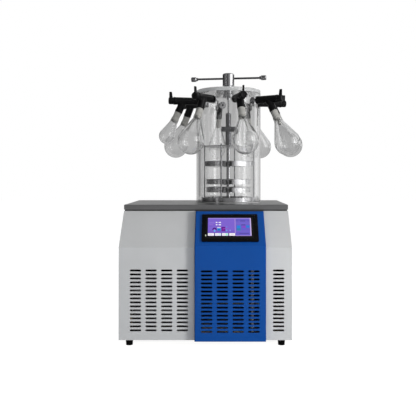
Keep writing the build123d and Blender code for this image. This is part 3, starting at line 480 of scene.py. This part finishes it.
# Rubber valves round the top of the chamber
valve = {
    "start": 0.1303, "end": 0.2253, "radius": 0.0155, "waist": 0.0148, "collar": 0.0085, "slope": 0.0015,
    "socket": 0.0122, "socketDepth": 0.006, "branchFrom": 0.1833, "branchLean": 25.5, "branchLength": 0.052,
    "cap": (0.2256, 0.2436), "capRadius": 0.014, "finTop": 0.0355, "finThick": 0.0058, "finTip": 0.0105,
    "finEdge": 0.0015, "barrelEdge": 0.0016, "branchEdge": 0.0012, "capEdge": 0.0012, "sleeveEdge": 0.0005,
    "steps": 40, "bodySkin": {"cell": 0.0009, "rounds": 6, "keep": 0.35},
    "capSkin": {"cell": 0.0007, "rounds": 4, "keep": 0.35},
}
chamberLow, chamberHigh = corners("chamber_cylinder")
ringMiddle = (chamberLow + chamberHigh) / 2
joints = {joint["name"]: joint for joint in frame["joints"]}


def portPlace(number):  # the port ring's middle, with X out through that port
    joint = joints[f"valve_turn_{number}"]
    way = math.atan2(joint["axis"][1], joint["axis"][0])
    spot = Vector((ringMiddle.x, ringMiddle.y, joint["pos_m"][2]))
    return Matrix.Translation(spot) @ Matrix.Rotation(way, 4, "Z")


alongX = Matrix.Rotation(math.radians(90), 4, "Y")
lean = math.radians(180 - valve["branchLean"])
downBranch = Matrix.Translation((valve["branchFrom"], 0, 0)) @ Matrix.Rotation(lean, 4, "Y")
r, w, c, slope = (valve[k] for k in ("radius", "waist", "collar", "slope"))
x0, x1, reach = valve["start"], valve["end"], valve["branchLength"]
barrelShape = [(0, x0), (r, x0), (r, x0 + c), (w, x0 + c + slope), (w, x1 - c - slope), (r, x1 - c), (r, x1), (0, x1)]
barrel = lathe("rubberValve", rounded(barrelShape, valve["barrelEdge"]), valve["steps"])
settle(barrel, alongX)
socket, bottom = valve["socket"], reach - valve["socketDepth"]
branchShape = [(0, 0), (w, 0), (w, reach - c), (r, reach - c + slope), (r, reach),
               (socket, reach), (socket, bottom), (0, bottom)]
branch = lathe("rubberBranch", rounded(branchShape, valve["branchEdge"]), valve["steps"])
settle(branch, downBranch)
joined(barrel, branch)
melt(barrel, **valve["bodySkin"])

low, high = valve["cap"]
r = valve["capRadius"]
capShape = [(0, low), (r - 0.0006, low), (r, low + 0.003), (r, high - 0.004), (r - 0.0015, high),
            (0.0072, high), (0.0062, high - 0.0016), (0, high - 0.0016)]
cap = lathe("valveCap", rounded(capShape, valve["capEdge"]), valve["steps"])
settle(cap, alongX)
bpy.ops.object.select_all(action="DESELECT")
back, front, top = low + 0.0003, high - 0.0022, valve["finTop"]
bpy.ops.mesh.primitive_cube_add(size=1, location=((back + front) / 2, 0, top / 2),
                                scale=(front - back, valve["finThick"], top))
fin = bpy.context.object
bpy.ops.object.transform_apply(location=True, rotation=True, scale=True)
pick(fin, "VERT", lambda v: v.co.z > top / 2 and v.co.x < (back + front) / 2)
bpy.ops.transform.translate(value=(front - back - valve["finTip"], 0, 0))
bpy.ops.mesh.select_all(action="SELECT")
bpy.ops.mesh.bevel(offset=valve["finEdge"], segments=2, affect="EDGES")
done()
joined(cap, fin)
melt(cap, **valve["capSkin"])

sleeveShape = [(0.0120, 0.047), (0.0120, 0.0521), (0.0140, 0.0521), (0.0143, 0.0590), (0.0136, 0.0605),
               (0.0138, 0.0765), (0.0149, 0.0790), (0.0152, 0.0862), (0.0146, 0.0879), (0.0120, 0.0879),
               (0.0119, 0.0935), (0.0070, 0.0935), (0.0070, 0.047), (0.0120, 0.047)]
sleeve = lathe("neckSleeve", rounded(sleeveShape, valve["sleeveEdge"]), valve["steps"])
settle(sleeve, downBranch)
smooth(sleeve, 35)

for number in range(1, 9):
    place = portPlace(number)
    body = settle(another(barrel, f"valve_rubber_{number}"), place)
    finished(body, rubber, "valve_rubber", "cabinet", "valve_bodies")
    plug = settle(another(cap, f"valve_handle_{number}"), place)
    finished(plug, rubber, "valve_rubber", f"valve_{number}", f"valve_plug_{number}")
    collar = settle(another(sleeve, f"sleeve_{number}"), place)
    finished(collar, ivory, "ivory", "cabinet", "neck_sleeves")
for pattern in (barrel, cap, sleeve):
    bpy.data.objects.remove(pattern)
print("valves and sleeves modelled")


# Press screw with its thread
screw = {"pitch": 0.004, "crest": 0.00398, "root": 0.0033, "steps": 28,
         "profile": ((0, 0.2), (1, 0.22), (0, 0.16), (-1, 0.22), (0, 0.2))}  # in thread depths and pitches
low, high = corners("press_screw")
turns = int((high.z - low.z) / screw["pitch"]) - 1
bpy.ops.object.select_all(action="DESELECT")
bpy.ops.mesh.primitive_plane_add(size=0.001)
thread = bpy.context.object
thread.name = thread.data.name = "press_screw_thread"
onePoint(thread)
bpy.ops.transform.translate(value=(screw["root"], 0, 0))
lift = screw["crest"] - screw["root"]
for across, up in screw["profile"]:
    step = (across * lift, 0, up * screw["pitch"])
    bpy.ops.mesh.extrude_vertices_move(TRANSFORM_OT_translate={"value": step})
done()
apply(thread, "SCREW", angle=math.tau, screw_offset=screw["pitch"], iterations=turns, axis="Z",
      steps=screw["steps"], render_steps=screw["steps"], use_merge_vertices=True)
pick(thread, "VERT", lambda v: True)
bpy.ops.mesh.remove_doubles(threshold=weld)
bpy.ops.mesh.select_all(action="DESELECT")
bpy.ops.mesh.select_mode(type="EDGE")
bpy.ops.mesh.select_non_manifold()
bpy.ops.mesh.edge_face_add()
bpy.ops.mesh.select_all(action="SELECT")
bpy.ops.mesh.normals_make_consistent(inside=False)
done()
middle = (low + high) / 2
settle(thread, Matrix.Translation((middle.x, middle.y, low.z)))
smooth(thread, 40)
finished(thread, bright, "polished_steel", "press", "press_screw")
print("press screw threaded")


# Fluted knobs at the ends of the handle bar
knob = {"radius": 0.00975, "waist": 0.0068, "inner": 0.1265, "outer": 0.1535, "steps": 32, "edge": 0.0004,
        "flute": 0.0005, "fluteInset": 0.0003, "fluteArea": 0.000015}
low, high = corners("handle_bar")
hubMiddle = (low + high) / 2
yaw = math.atan2(-(high.y - low.y), high.x - low.x)
r, a, b = knob["radius"], knob["inner"], knob["outer"]
knobShape = [(0, a), (knob["waist"], a), (knob["waist"], a + 0.0055), (r, a + 0.0078), (r, b - 0.0022),
             (r - 0.0016, b), (r - 0.0030, b), (r - 0.0036, b - 0.0006), (0, b - 0.0006)]
grip = lathe("handleKnob", rounded(knobShape, knob["edge"]), knob["steps"])
sides = [f for f in grip.data.polygons if abs(f.normal.z) < 0.05 and f.area > knob["fluteArea"]
         and math.hypot(f.center.x, f.center.y) > r * 0.95]
sides.sort(key=lambda f: math.atan2(f.center.y, f.center.x))
everyOther = {face.index for face in sides[::2]}
pick(grip, "FACE", lambda f: f.index in everyOther)
bpy.ops.mesh.inset(thickness=knob["fluteInset"], use_individual=True)
bpy.ops.transform.shrink_fatten(value=-knob["flute"])
done()
smooth(grip, 28)
for side, turn in (("right", yaw), ("left", yaw + math.pi)):
    place = Matrix.Translation(hubMiddle) @ Matrix.Rotation(turn, 4, "Z") @ alongX
    end = settle(another(grip, f"handle_knob_{side}"), place)
    finished(end, bright, "polished_steel", "handle", "handle_knobs")
bpy.data.objects.remove(grip)
print("knobs modelled")


# Rolled rims on the trays
rim = {"bead": 0.0016, "inset": 0.0003, "sunk": 0.6, "around": 10, "steps": 112, "gap": 0.0135}
for number in (1, 2, 3):
    low, high = corners(f"tray_{number}")
    radius = (high.x - low.x) / 2
    middle = (low + high) / 2
    bead, around = rim["bead"], rim["around"]
    ring = [(radius - rim["inset"] + bead * math.cos(math.tau * k / around),
             high.z - bead * rim["sunk"] + bead * math.sin(math.tau * k / around)) for k in range(around + 1)]
    opening = 2 * math.degrees(math.asin(rim["gap"] / radius))
    roll = lathe(f"tray_rim_{number}", ring, rim["steps"], 360 - opening)
    pick(roll, "EDGE", lambda e: e.is_boundary)
    bpy.ops.mesh.edge_face_add()
    bpy.ops.mesh.select_all(action="SELECT")
    bpy.ops.mesh.normals_make_consistent(inside=False)
    done()
    start = math.radians(-90 + opening / 2)
    settle(roll, Matrix.Translation((middle.x, middle.y, 0)) @ Matrix.Rotation(start, 4, "Z"))
    smooth(roll, 50)
    finished(roll, pressed, "trap_steel", "cabinet")
print("tray rims rolled")


# Drain pipe from the trap's jacket, seen behind the cover's slots
drainPipe = {"x": 0.1634, "y": -0.262, "radius": 0.006, "floor": 0.0215, "bendFrom": 0.318, "bend": 0.03,
             "end": 0.004}
bpy.ops.object.select_all(action="DESELECT")
x, y, floorLevel, bendFrom = (drainPipe[k] for k in ("x", "y", "floor", "bendFrom"))
bpy.ops.mesh.primitive_circle_add(vertices=24, radius=drainPipe["radius"], fill_type="NGON",
                                  location=(x, y, floorLevel))
pipe = bpy.context.object
pipe.name = pipe.data.name = "trap_drain_pipe"
bpy.ops.object.transform_apply(location=True, rotation=True, scale=True)
pick(pipe, "FACE", lambda f: True)
bpy.ops.mesh.extrude_region_move(TRANSFORM_OT_translate={"value": (0, 0, bendFrom - floorLevel)})
bpy.ops.mesh.spin(steps=10, angle=math.radians(-90), center=(x, y + drainPipe["bend"], bendFrom), axis=(1, 0, 0))
back = drainPipe["end"] - y - drainPipe["bend"]
bpy.ops.mesh.extrude_region_move(TRANSFORM_OT_translate={"value": (0, back, 0)})
bpy.ops.mesh.select_all(action="SELECT")
bpy.ops.mesh.normals_make_consistent(inside=False)
done()
smooth(pipe, 40)
finished(pipe, tubeGrey, "trap_steel", "cabinet")
print("drain pipe bent")


# Clear lid with its half matt edge, and the flat seal ring between it and the tube
lid = {"edge": 0.0009, "round": 0.004, "arc": 6, "play": 0.0001, "lift": 0.0003, "bore": 0.01305, "steps": 128,
       "sealInner": 0.1153, "sealOuter": 0.1297, "sealThick": 0.0002}
low, high = corners("chamber_lid")
middle = (low + high) / 2
outer, under, upper = (high.x - low.x) / 2, low.z + lid["lift"], high.z


def quarter(radius):  # the rounded top edge, from its side up to its flat
    turns = [math.radians(k * 90 / lid["arc"]) for k in range(lid["arc"] + 1)]
    across, up = outer - lid["round"], upper - lid["round"]
    return [(across + radius * math.cos(a), up + radius * math.sin(a)) for a in turns]


skin = quarter(lid["round"] - lid["edge"])
edgeBand = lathe("lid_edge_band", [(outer, under), *quarter(lid["round"]), *reversed(skin),
                                   (outer - lid["edge"], under), (outer, under)], lid["steps"])
core = quarter(lid["round"] - lid["edge"] - lid["play"])
shoulder = outer - lid["round"] - lid["play"]
disc = lathe("clear_lid_disc", [(lid["bore"], under), (core[0][0], under), *core, (shoulder, core[-1][1]),
                                (shoulder, upper), (lid["bore"], upper), (lid["bore"], under)], lid["steps"])
sealLow = low.z + (lid["lift"] - lid["sealThick"]) / 2
sealHigh, inner = sealLow + lid["sealThick"], lid["sealInner"]
seal = lathe("lid_seal_ring", [(inner, sealLow), (lid["sealOuter"], sealLow), (lid["sealOuter"], sealHigh),
                               (inner, sealHigh), (inner, sealLow)], lid["steps"])
for piece, finish in ((edgeBand, sawnAcrylic), (disc, acrylic), (seal, mattAcrylic)):
    settle(piece, Matrix.Translation((middle.x, middle.y, 0)))
    smooth(piece, 25)
    finished(piece, finish, "clear_acrylic", "cabinet", "chamber_lid")
print("lid turned")


# Pan-head screws that hold the rear panel
rearScrew = {"radius": 0.0039, "height": 0.0024, "slotWidth": 0.0009, "slotLength": 0.0044, "slotDepth": 0.0013,
             "edge": 0.0004, "steps": 24, "twist": 17.0, "across": 0.287, "heights": (0.042, 0.172, 0.302, 0.432)}
r, h = rearScrew["radius"], rearScrew["height"]
headShape = [(0, 0), (r, 0), (r, h * 0.45), (r * 0.6, h), (0, h)]
head = lathe("screwHead", rounded(headShape, rearScrew["edge"]), rearScrew["steps"])
for long, short in (("slotLength", "slotWidth"), ("slotWidth", "slotLength")):
    bpy.ops.object.select_all(action="DESELECT")
    bpy.ops.mesh.primitive_cube_add(size=1, location=(0, 0, h),
                                    scale=(rearScrew[long], rearScrew[short], rearScrew["slotDepth"] * 2))
    cutter = bpy.context.object
    apply(head, "BOOLEAN", object=cutter, operation="DIFFERENCE", solver="EXACT")
    bpy.data.objects.remove(cutter)
smooth(head, 35)
rearFace = corners("rear_panel")[1].y
outward = Matrix.Rotation(math.radians(-90), 4, "X")
heads = []
for x in (-rearScrew["across"], rearScrew["across"]):
    for z in rearScrew["heights"]:
        twist = Matrix.Rotation(rearScrew["twist"] * len(heads), 4, "Z")
        heads.append(settle(another(head, f"rear_screw_{len(heads) + 1}"),
                            Matrix.Translation((x, rearFace, z)) @ outward @ twist))
bpy.data.objects.remove(head)
heads[0].name = heads[0].data.name = "rear_screws"
finished(joined(*heads), bright, "polished_steel", "cabinet")
print("rear screws set")


# Display: bevelled frame, lamp and lit screen
display = {
    "tilt": 45, "frame": (0.198, 0.124, 0.005), "corner": 0.005, "screenMiddle": 0.00325,
    "opening": (0.1664, 0.0984), "recess": 0.003, "housing": 0.009, "housingDepth": 0.036,
    "cornerSteps": 6, "edge": 0.0008, "lampEdge": 0.0005, "near": 1e-5,
    "lamp": (-0.0850, -0.0367), "lampSize": (0.0036, 0.0072, 0.0012), "lampGlow": 0.5,
    "lit": {"middle": (-0.0015, 0.0025), "size": (0.152, 0.082)}, "glow": 0.97,
}
low, high = corners("hmi_screen")
displayTilt = Matrix.Rotation(math.radians(display["tilt"]), 4, "X")
displayMiddle = (low + high) / 2 - displayTilt @ Vector((0, 0, display["screenMiddle"]))
displayPlace = Matrix.Translation(displayMiddle) @ displayTilt
wide, high, thick = display["frame"]
bpy.ops.object.select_all(action="DESELECT")
bpy.ops.mesh.primitive_cube_add(size=1, location=(0, 0, thick / 2), scale=display["frame"])
bezel = bpy.context.object
bezel.name = bezel.data.name = "screen_bezel"
bpy.ops.object.transform_apply(location=True, rotation=True, scale=True)
pick(bezel, "FACE", lambda f: f.normal.z < -0.9)
bpy.ops.mesh.inset(thickness=display["housing"])
bpy.ops.mesh.extrude_region_move(TRANSFORM_OT_translate={"value": (0, 0, -display["housingDepth"])})
done()
pick(bezel, "FACE", lambda f: f.normal.z > 0.9 and f.calc_center_median().z > thick * 0.9)
bpy.ops.mesh.inset(thickness=(high - display["opening"][1]) / 2)
inner = wide - (high - display["opening"][1])
bpy.ops.transform.resize(value=(display["opening"][0] / inner, 1, 1))
bpy.ops.mesh.extrude_region_move(TRANSFORM_OT_translate={"value": (0, 0, -display["recess"])})
done()
near = display["near"]


def atCorner(corner):
    return abs(abs(corner.co.x) - wide / 2) < near and abs(abs(corner.co.y) - high / 2) < near


pick(bezel, "EDGE", lambda e: all(atCorner(v) for v in e.verts)
     and abs(e.verts[0].co.z - e.verts[1].co.z) > 0.001)
bpy.ops.mesh.bevel(offset=display["corner"], segments=display["cornerSteps"], affect="EDGES")
done()
pick(bezel, "EDGE", lambda e: all(v.co.z > thick - near for v in e.verts)
     and any(abs(f.normal.z) < 0.1 for f in e.link_faces))
bpy.ops.mesh.bevel(offset=display["edge"], segments=3, affect="EDGES")
done()
settle(bezel, displayPlace)
smooth(bezel, 30)
finished(bezel, bezelBlack, "bezel_black", "cabinet", "hmi_bezel")

bpy.ops.object.select_all(action="DESELECT")
bpy.ops.mesh.primitive_cube_add(size=1, location=(*display["lamp"], thick), scale=display["lampSize"])
lampLens = bpy.context.object
lampLens.name = lampLens.data.name = "power_lamp"
bpy.ops.object.transform_apply(location=True, rotation=True, scale=True)
pick(lampLens, "EDGE", lambda e: True)
bpy.ops.mesh.bevel(offset=display["lampEdge"], segments=3, affect="EDGES")
done()
settle(lampLens, displayPlace)
smooth(lampLens, 40)
lens = newFinish("lampLens")
lens.close(lens.coat({"Base Color": (0.30, 0.33, 0.27, 1), "Emission Color": (0.45, 0.5, 0.38, 1),
                      "Emission Strength": display["lampGlow"], "Roughness": 0.2}))
finished(lampLens, lens.owner, "bezel_black", "cabinet")


def screenTone(*levels):  # a colour as a display's own values give it, 0 to 255
    return (*[c / 255 / 12.92 if c <= 10 else ((c / 255 + 0.055) / 1.055) ** 2.4 for c in levels], 1)


panel = newFinish("litScreen")
x, y, z = panel.axes()
half = math.sqrt(0.5)
mx, my, mz = displayMiddle
(litX, litY), (litWide, litHigh) = display["lit"]["middle"], display["lit"]["size"]
across = (x - (mx + litX)) / litWide + 0.5
up = ((y - my) * half + (z - mz) * half - litY) / litHigh + 0.5


def block(left, low, right, high):
    return (across > left) * (across < right) * (up > low) * (up < high)


def oval(middleX, middleY, wide, high):
    a, b = (across - middleX) / wide, (up - middleY) / high
    return (a * a + b * b) < 1


marks = [  # (where, colour): painted one over the other
    (block(0, 0, 1, 1), (126, 98, 208)),
    (block(0.005, 0.16, 0.62, 0.30), (118, 92, 200)),
    (block(0.005, 0.955, 0.995, 1), (160, 140, 228)),
    (block(0.64, 0.03, 0.975, 0.955), (106, 92, 200)),
    (block(0.64, 0.76, 0.975, 0.78), (138, 120, 220)),
    (block(0.64, 0.655, 0.975, 0.675), (142, 120, 222)),
    (block(0.64, 0.255, 0.975, 0.275), (140, 116, 216)),
    (block(0.62, 0.16, 0.64, 0.97), (170, 140, 214)),
    (block(0.975, 0, 1, 1), (206, 186, 236)),
    (block(0.62, 0, 1, 0.03), (176, 150, 222)),
    (block(0.75, 0.81, 0.87, 0.85), (70, 58, 140)),
    (block(0.66, 0.82, 0.70, 0.845), (84, 70, 160)),
    (block(0.92, 0.82, 0.96, 0.845), (84, 70, 160)),
    (block(0.77, 0.59, 0.87, 0.63), (66, 52, 132)),
    (block(0.72, 0.11, 0.94, 0.15), (84, 68, 156)),
    (block(0.665, 0.42, 0.755, 0.575), (40, 132, 218)),
    (block(0.665, 0.29, 0.755, 0.42), (52, 128, 176)),
    (block(0.885, 0.45, 0.965, 0.585), (44, 124, 216)),
    (block(0.80, 0.45, 0.865, 0.55), (142, 66, 196)),
    (block(0.79, 0.36, 0.87, 0.40), (88, 100, 214)),
    (block(0.03, 0.73, 0.15, 0.755), (150, 122, 214)),
    (block(0.03, 0.605, 0.12, 0.63), (158, 110, 206)),
    (block(0.13, 0.605, 0.155, 0.63), (100, 70, 178)),
    (block(0.03, 0.53, 0.10, 0.55), (100, 76, 176)),
    (block(0.005, 0.675, 0.18, 0.685), (142, 118, 220)),
    (block(0.182, 0.72, 0.215, 0.775), (250, 246, 255)),
    (block(0.226, 0.735, 0.246, 0.765), (226, 214, 250)),
    (block(0.256, 0.72, 0.302, 0.775), (250, 246, 255)),
    (block(0.182, 0.59, 0.215, 0.645), (250, 246, 255)),
    (block(0.226, 0.605, 0.246, 0.635), (226, 214, 250)),
    (block(0.256, 0.59, 0.302, 0.645), (250, 246, 255)),
    (oval(0.152, 0.33, 0.052, 0.13) * (up > 0.325), (74, 14, 126)),
    (oval(0.152, 0.32, 0.022, 0.06) * (up > 0.30), (150, 110, 214)),
    (block(0.29, 0.395, 0.34, 0.425), (120, 40, 150)),
    (block(0.315, 0.255, 0.40, 0.50), (104, 18, 140)),
    (block(0.335, 0.30, 0.375, 0.40), (140, 30, 150)),
    (block(0.345, 0.395, 0.47, 0.415), (160, 90, 200)),
    (block(0.205, 0.265, 0.305, 0.505), (92, 40, 160)),
    (block(0.212, 0.29, 0.298, 0.43), (60, 150, 222)),
    (oval(0.255, 0.355, 0.03, 0.055), (20, 112, 196)),
    (block(0.212, 0.43, 0.298, 0.49), (216, 206, 242)),
    (oval(0.155, 0.275, 0.02, 0.055), (100, 178, 240)),
    (oval(0.432, 0.30, 0.017, 0.045), (110, 160, 226)),
    (oval(0.513, 0.30, 0.017, 0.045), (140, 140, 228)),
    (oval(0.435, 0.495, 0.014, 0.035), (100, 138, 220)),
    (block(0, 0, 0.63, 0.155), (60, 36, 130)),
    (block(0.003, 0.01, 0.143, 0.15), (250, 246, 252)),
    (block(0.166, 0.01, 0.304, 0.15), (248, 246, 252)),
    (block(0.326, 0.01, 0.466, 0.15), (250, 248, 252)),
    (block(0.490, 0.01, 0.625, 0.15), (252, 246, 250)),
    (block(0.405, 0.025, 0.458, 0.135), (160, 240, 214)),
    (block(0.245, 0.025, 0.296, 0.135), (206, 228, 246)),
    (block(0.03, 0.065, 0.10, 0.09), (206, 190, 222)),
    (block(0.185, 0.065, 0.235, 0.09), (200, 190, 222)),
    (block(0.345, 0.065, 0.39, 0.09), (206, 190, 222)),
    (block(0.525, 0.065, 0.595, 0.09), (206, 190, 222)),
]
colour = grey(0)
for where, shade in marks:
    colour = panel.mix(where, colour, screenTone(*shade))
panel.close(panel.coat({"Base Color": grey(0.006), "Emission Color": colour, "Emission Strength": display["glow"],
                        "Roughness": 0.12, "Specular IOR Level": 0.25}))
for slot in nodes["hmi_screen"].material_slots:
    slot.material = panel.owner
print("display lit")


dressing = {
    slateGrey: ["side_panel_left", "side_panel_right", "front_panel_left", "front_panel_right", "rear_panel"],
    cobalt: ["display_fascia"],
    primer: ["top_deck"],
    panPlate: ["base_pan"],
    footRubber: ["feet"],
    worktopSteel: ["worktop"],
    sealRubber: ["worktop_seal"],
    gasketRubber: ["chamber_gasket"],
    satin: ["cold_trap", "vacuum_port"],
    copper: ["trap_coil"],
    foam: ["trap_insulation"],
    enamel: ["compressor"],
    aluminium: ["condenser"],
    blackPlastic: ["fan_frame", "fan_rotor", "power_inlet", "power_rocker"],
    brass: ["drain_cock"],
    redDip: ["drain_lever"],
    acrylic: ["chamber_cylinder"],
    glass: [f"flask_{k}" for k in range(1, 9)],
    bright: ["lid_bush", "handle_hub", "port_nipples", "rack_column", "rack_base"],
    drawn: ["rack_rods"],
    shadedSteel: ["handle_bar", "press_stem"],
    pressed: ["press_plate", "tray_1", "tray_2", "tray_3"],
}
for finish, names in dressing.items():
    for name in names:
        for slot in nodes[name].material_slots:
            slot.material = finish
print("dressed")
